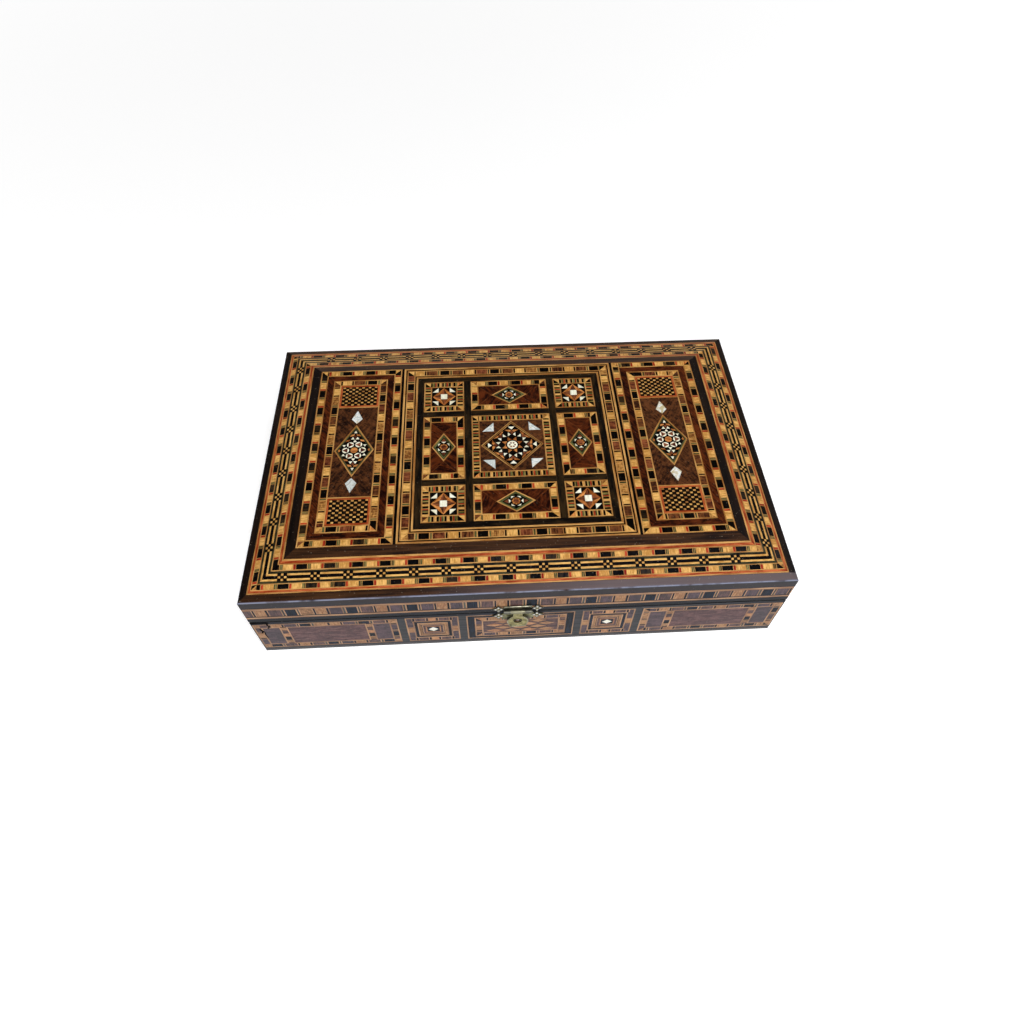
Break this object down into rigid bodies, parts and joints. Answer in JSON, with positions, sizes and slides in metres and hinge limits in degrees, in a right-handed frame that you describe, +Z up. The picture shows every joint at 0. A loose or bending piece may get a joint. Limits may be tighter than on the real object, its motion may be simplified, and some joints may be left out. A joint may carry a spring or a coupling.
{
  "type": "chess box with hinged lid",
  "caption": "Shallow wooden box for chess pieces with a hinged lid, a raised field, a sloped border and geometric marquetry, closed by a small brass latch.",
  "frame": {"origin": "centre of the underside, on the surface that the box stands on", "axes": "+Z up, +X to the right, the latch on the -Y face and the hinges on the +Y face"},
  "size_m": [0.38, 0.2501, 0.0823],
  "materials": {
    "walnut": "satin shellac, dark walnut, worn on the edges",
    "light_boxwood": "satin, fine straight grain",
    "rod_marquetry": "satin, glued rods of light, dark and dyed wood",
    "mahogany": "satin, red-brown",
    "ebony": "satin, black",
    "bone": null,
    "padauk": "satin, orange",
    "red_felt": "matt felt",
    "plywood": "bare, out of sight",
    "walnut_burl": "satin, mottled burl",
    "checker_block": "satin, glued block of small squares",
    "green_dyed_wood": "satin, dyed green",
    "mother_of_pearl": null,
    "antique_brass": "stamped, toned, rubbed bright on the high spots",
    "steel_wire": "drawn wire"
  },
  "bodies": {
    "base": {"base_bottom_board": "walnut", "base_front_board": "walnut", "base_right_board": "walnut", "base_back_board": "walnut", "base_left_board": "walnut", "base_front_lines": "light_boxwood", "base_front_block_fillets": "rod_marquetry", "base_front_fields": "mahogany", "base_front_stepped_frames": "ebony", "base_front_bone_diamonds": "bone", "base_front_flame_lozenges": "padauk", "base_right_marquetry": "rod_marquetry", "base_back_marquetry": "rod_marquetry", "base_left_marquetry": "rod_marquetry", "base_floor_lining": "red_felt", "base_wall_lining": "red_felt", "hinge_left_base_leaf": "antique_brass", "hinge_right_base_leaf": "antique_brass", "hinge_pins": "steel_wire", "hinge_base_screws": "antique_brass", "latch_keeper_plate": "antique_brass", "latch_stud": "antique_brass", "latch_base_nails": "antique_brass"},
    "lid": {"lid_front_rail": "walnut", "lid_right_rail": "walnut", "lid_back_rail": "walnut", "lid_left_rail": "walnut", "lid_rim_band": "rod_marquetry", "lid_plywood_panel": "plywood", "lid_raised_core": "plywood", "lid_front_slope": "walnut", "lid_right_slope": "walnut", "lid_back_slope": "walnut", "lid_left_slope": "walnut", "lid_front_border": "rod_marquetry", "lid_right_border": "rod_marquetry", "lid_back_border": "rod_marquetry", "lid_left_border": "rod_marquetry", "lid_lining": "red_felt", "field_dark_strips": "walnut", "field_light_lines": "light_boxwood", "field_block_fillets": "rod_marquetry", "field_mahogany_panels": "mahogany", "field_burl_panels": "walnut_burl", "field_checker_panels": "checker_block", "field_green_lines": "green_dyed_wood", "field_ebony_inlays": "ebony", "field_bone_inlays": "bone", "field_padauk_inlays": "padauk", "field_pearl_inlays": "mother_of_pearl", "hinge_left_lid_leaf": "antique_brass", "hinge_right_lid_leaf": "antique_brass", "hinge_lid_screws": "antique_brass", "latch_lid_plate": "antique_brass", "latch_pin": "steel_wire", "latch_lid_nails": "antique_brass"},
    "latch_flap": {"latch_flap": "antique_brass"}
  },
  "joints": [
    {"name": "lid_hinge", "type": "hinge", "parent": "base", "child": "lid", "pos_m": [0, 0.12005, 0.0455], "axis": [-1, 0, 0], "range_deg": [0, 98]},
    {"name": "latch_flap_hinge", "type": "hinge", "parent": "lid", "child": "latch_flap", "pos_m": [-0.0023, -0.12545, 0.0486], "axis": [-1, 0, 0], "range_deg": [-3.5, 180]}
  ]
}
